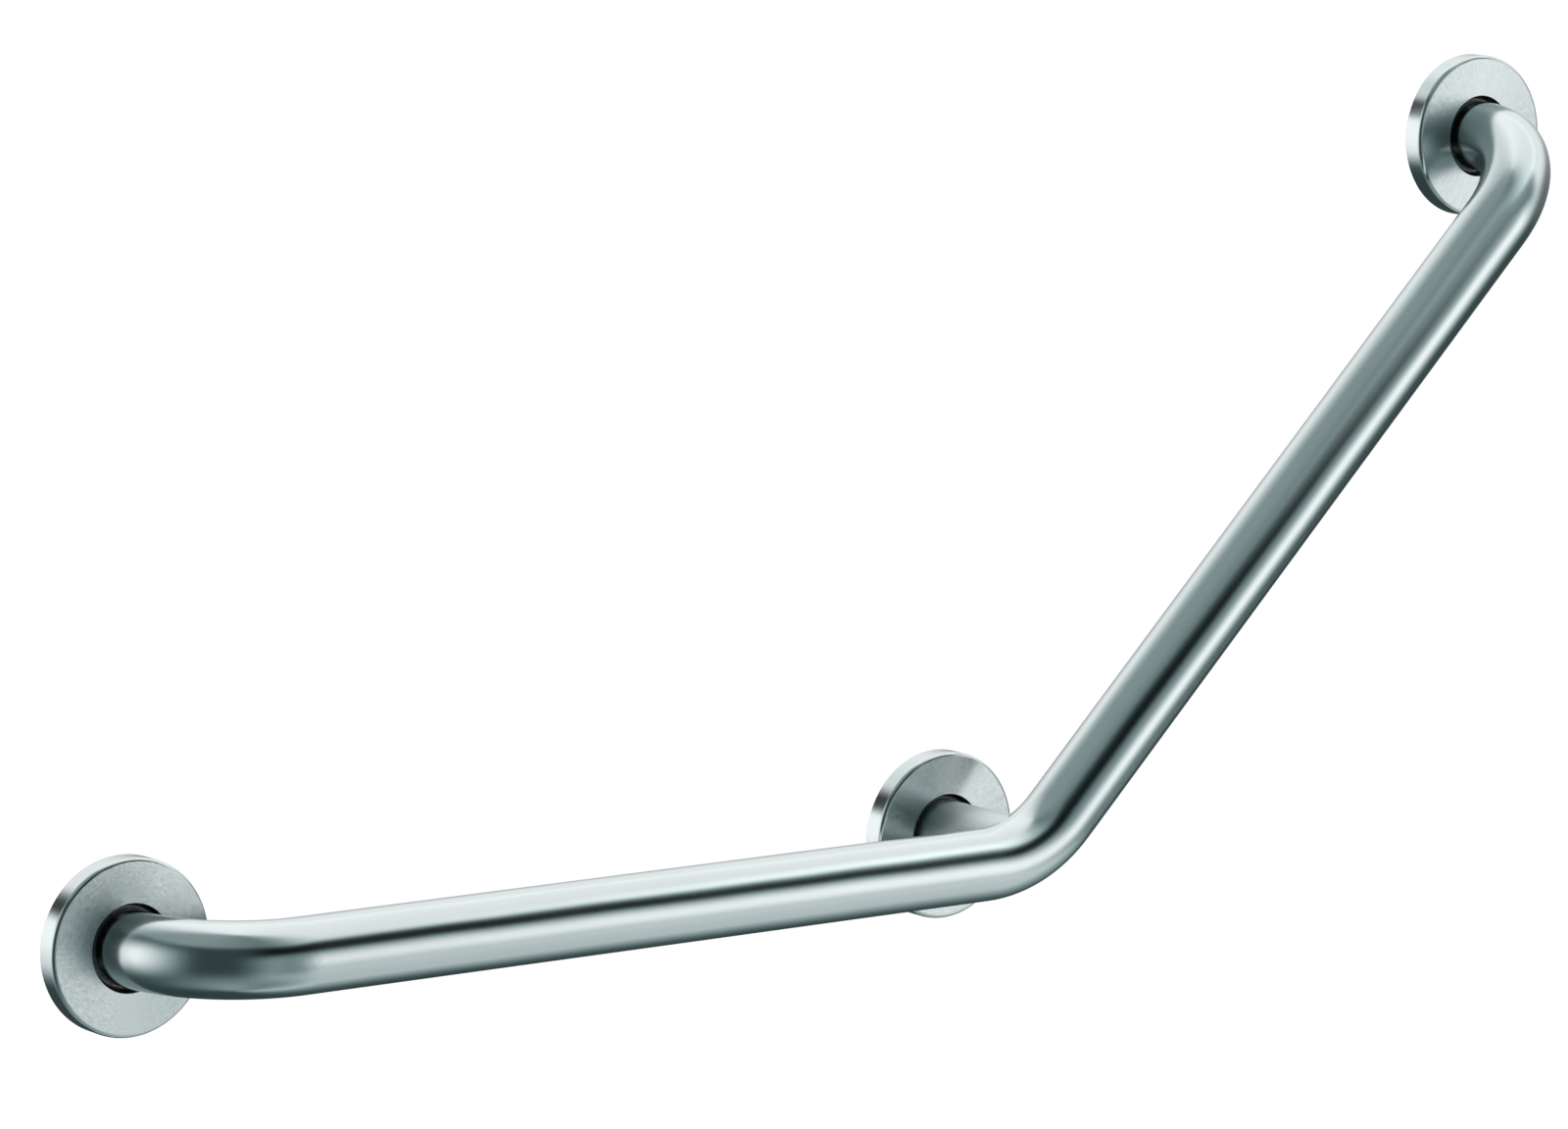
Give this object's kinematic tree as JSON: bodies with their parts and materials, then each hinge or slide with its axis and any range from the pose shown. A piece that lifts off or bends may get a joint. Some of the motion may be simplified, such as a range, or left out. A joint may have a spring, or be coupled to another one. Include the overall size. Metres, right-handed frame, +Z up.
{
  "type": "grab bar",
  "caption": "Angled wall grab bar: bent steel tube with level and rising runs, legs at its ends and behind the elbow, and round covers that slide out from the fixing plates.",
  "frame": {"origin": "centre of the left fixing, on the wall plane", "axes": "+X along the level run towards the elbow, +Y into the wall, +Z up"},
  "size_m": [0.7528, 0.071, 0.3528],
  "materials": {
    "tube": "satin, finely brushed round the tube",
    "cover": "satin, brushed in circles",
    "plate": "plain rolled sheet"
  },
  "bodies": {
    "bar": {"rail": "tube", "centre_leg": "tube", "left_plate": "plate", "centre_plate": "plate", "top_plate": "plate"},
    "left_cover": {"left_cover": "cover"},
    "centre_cover": {"centre_cover": "cover"},
    "top_cover": {"top_cover": "cover"}
  },
  "joints": [
    {"name": "left_cover_slide", "type": "slide", "parent": "bar", "child": "left_cover", "axis": [0, -1, 0], "range_m": [0, 0.0115]},
    {"name": "centre_cover_slide", "type": "slide", "parent": "bar", "child": "centre_cover", "axis": [0, -1, 0], "range_m": [0, 0.03]},
    {"name": "top_cover_slide", "type": "slide", "parent": "bar", "child": "top_cover", "axis": [0, -1, 0], "range_m": [0, 0.0115]}
  ]
}
